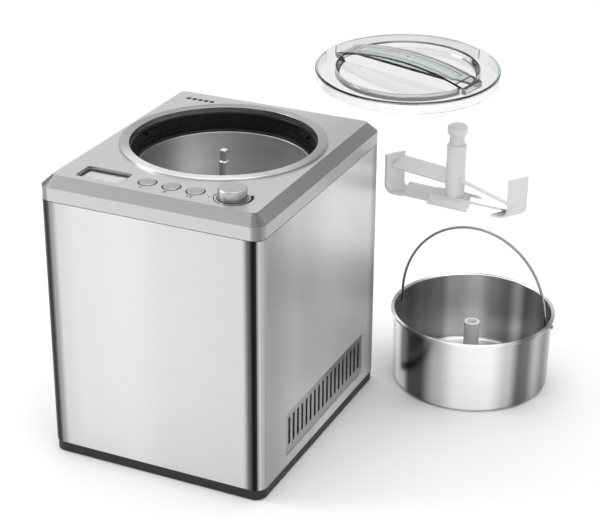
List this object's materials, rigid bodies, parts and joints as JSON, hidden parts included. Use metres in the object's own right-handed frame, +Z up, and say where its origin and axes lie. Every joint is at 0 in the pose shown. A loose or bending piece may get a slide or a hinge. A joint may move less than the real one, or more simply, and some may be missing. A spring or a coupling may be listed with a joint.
{
  "type": "ice cream maker",
  "caption": "Counter-top compressor ice cream maker in brushed steel, shown open with its lift-out bowl, mixing arm and clear lid beside it.",
  "frame": {"origin": "centre of the machine's base, on the counter", "axes": "+Z up, -Y is the front of the machine where the controls are, +X is its right-hand side"},
  "size_m": [0.4677, 0.4667, 0.4203],
  "materials": {
    "brushed_wrap": "fine vertical brushing",
    "vent_steel": "brushed",
    "satin_cover": "satin brushed",
    "polished_trim": "polished",
    "black_plastic": "moulded, fine grain",
    "foot_rubber": "matte",
    "well_aluminium": "matte anodised",
    "shaft_steel": "turned and polished",
    "bush_brass": "turned",
    "copper_pipe": "drawn copper tube",
    "foam": "expanded foam",
    "plated_steel": "zinc plated",
    "gear_nylon": "moulded nylon",
    "gearbox_zinc": "die cast",
    "motor_can": "plated can",
    "compressor_paint": "satin black paint",
    "dark_moulding": "moulded",
    "fin_aluminium": "mill finish",
    "board_green": "lacquered board",
    "board_parts": "moulded parts",
    "display_glass": "clear window",
    "display_lcd": "grey reflective display",
    "button_steel": "satin chrome",
    "knob_steel": "brushed with a polished edge",
    "bowl_steel": "spun and brushed",
    "bail_wire": "polished wire",
    "white_plastic": "food grade moulding",
    "clear_plastic": "clear moulded plastic"
  },
  "bodies": {
    "machine": {"housing_shell": "brushed_wrap", "vent_panel_right": "vent_steel", "vent_panel_left": "vent_steel", "top_cover": "satin_cover", "trim_ring": "polished_trim", "base_tray": "black_plastic", "collar": "black_plastic", "power_inlet": "black_plastic", "feet": "foot_rubber", "well_gasket": "foot_rubber", "compressor_mounts": "foot_rubber", "cooling_well": "well_aluminium", "shaft_bush": "bush_brass", "inlet_pins": "bush_brass", "evaporator_coil": "copper_pipe", "condenser_tube": "copper_pipe", "discharge_pipe": "copper_pipe", "suction_pipe": "copper_pipe", "filter_drier": "copper_pipe", "insulation_jacket": "foam", "deck_plate": "plated_steel", "deck_posts": "plated_steel", "deck_screws": "plated_steel", "compressor_plate": "plated_steel", "compressor_bolts": "plated_steel", "condenser_plates": "plated_steel", "gearbox_lower": "gearbox_zinc", "gearbox_upper": "gearbox_zinc", "agitator_motor": "motor_can", "fan_motor": "motor_can", "compressor_can": "compressor_paint", "start_relay": "dark_moulding", "fan_shroud": "dark_moulding", "display_bezel": "dark_moulding", "key_switches": "dark_moulding", "condenser_fins": "fin_aluminium", "control_board": "board_green", "power_board": "board_green", "board_parts": "board_parts", "board_pillars": "board_parts", "encoder": "board_parts", "display_window": "display_glass", "display_module": "display_lcd"},
    "drive": {"drive_shaft": "shaft_steel", "output_gear": "gear_nylon"},
    "idler": {"idler_gear": "gear_nylon"},
    "motor_rotor": {"motor_pinion": "bush_brass", "motor_shaft": "shaft_steel"},
    "fan": {"fan_blades": "gear_nylon"},
    "control_knob": {"knob": "knob_steel", "knob_shaft": "shaft_steel"},
    "left_button": {"button_left": "button_steel"},
    "middle_button": {"button_middle": "button_steel"},
    "right_button": {"button_right": "button_steel"},
    "bowl": {"bowl": "bowl_steel", "bowl_tube": "white_plastic"},
    "bail": {"bail": "bail_wire"},
    "arm": {"mixing_arm": "white_plastic"},
    "lid": {"lid": "clear_plastic"},
    "flap": {"refill_flap": "clear_plastic"}
  },
  "joints": [
    {"name": "drive_spin", "type": "hinge", "parent": "machine", "child": "drive", "pos_m": [0, 0.0186, 0.24], "axis": [0, 0, 1], "continuous": true},
    {"name": "idler_spin", "type": "hinge", "parent": "machine", "child": "idler", "pos_m": [0.0428, 0.0186, 0.18], "axis": [0, 0, 1], "continuous": true},
    {"name": "motor_spin", "type": "hinge", "parent": "machine", "child": "motor_rotor", "pos_m": [0.0428, -0.0167, 0.18], "axis": [0, 0, 1], "continuous": true},
    {"name": "fan_spin", "type": "hinge", "parent": "machine", "child": "fan", "pos_m": [0.0836, 0.0096, 0.08], "axis": [1, 0, 0], "continuous": true},
    {"name": "knob_turn", "type": "hinge", "parent": "machine", "child": "control_knob", "pos_m": [0.0813, -0.1194, 0.34], "axis": [0, 0, 1], "range_deg": [-150, 150]},
    {"name": "left_button_press", "type": "slide", "parent": "machine", "child": "left_button", "axis": [0, 0, -1], "range_m": [0, 0.0012], "stiffness_N_per_m": 500, "springref_m": -0.001},
    {"name": "middle_button_press", "type": "slide", "parent": "machine", "child": "middle_button", "axis": [0, 0, -1], "range_m": [0, 0.0012], "stiffness_N_per_m": 500, "springref_m": -0.001},
    {"name": "right_button_press", "type": "slide", "parent": "machine", "child": "right_button", "axis": [0, 0, -1], "range_m": [0, 0.0012], "stiffness_N_per_m": 500, "springref_m": -0.001},
    {"name": "bowl_lift", "type": "slide", "parent": "machine", "child": "bowl", "axis": [0, 0, 1], "range_m": [0, 0.03]},
    {"name": "bail_swing", "type": "hinge", "parent": "bowl", "child": "bail", "pos_m": [0.2363, 0.2102, 0.0845], "axis": [0.9983, 0.0576, 0], "range_deg": [-58, 46]},
    {"name": "arm_lift", "type": "slide", "parent": "machine", "child": "arm", "axis": [0, 0, 1], "range_m": [0, 0.04]},
    {"name": "lid_lift", "type": "slide", "parent": "machine", "child": "lid", "axis": [0, 0, 1], "range_m": [0, 0.12]},
    {"name": "flap_lift", "type": "slide", "parent": "lid", "child": "flap", "axis": [0.022, -0.0475, 0.9986], "range_m": [0, 0.03]}
  ],
  "couplings": [
    {"joint": "idler_spin", "follows": "drive_spin", "ratio": -3.6667},
    {"joint": "motor_spin", "follows": "drive_spin", "ratio": 10.389}
  ]
}
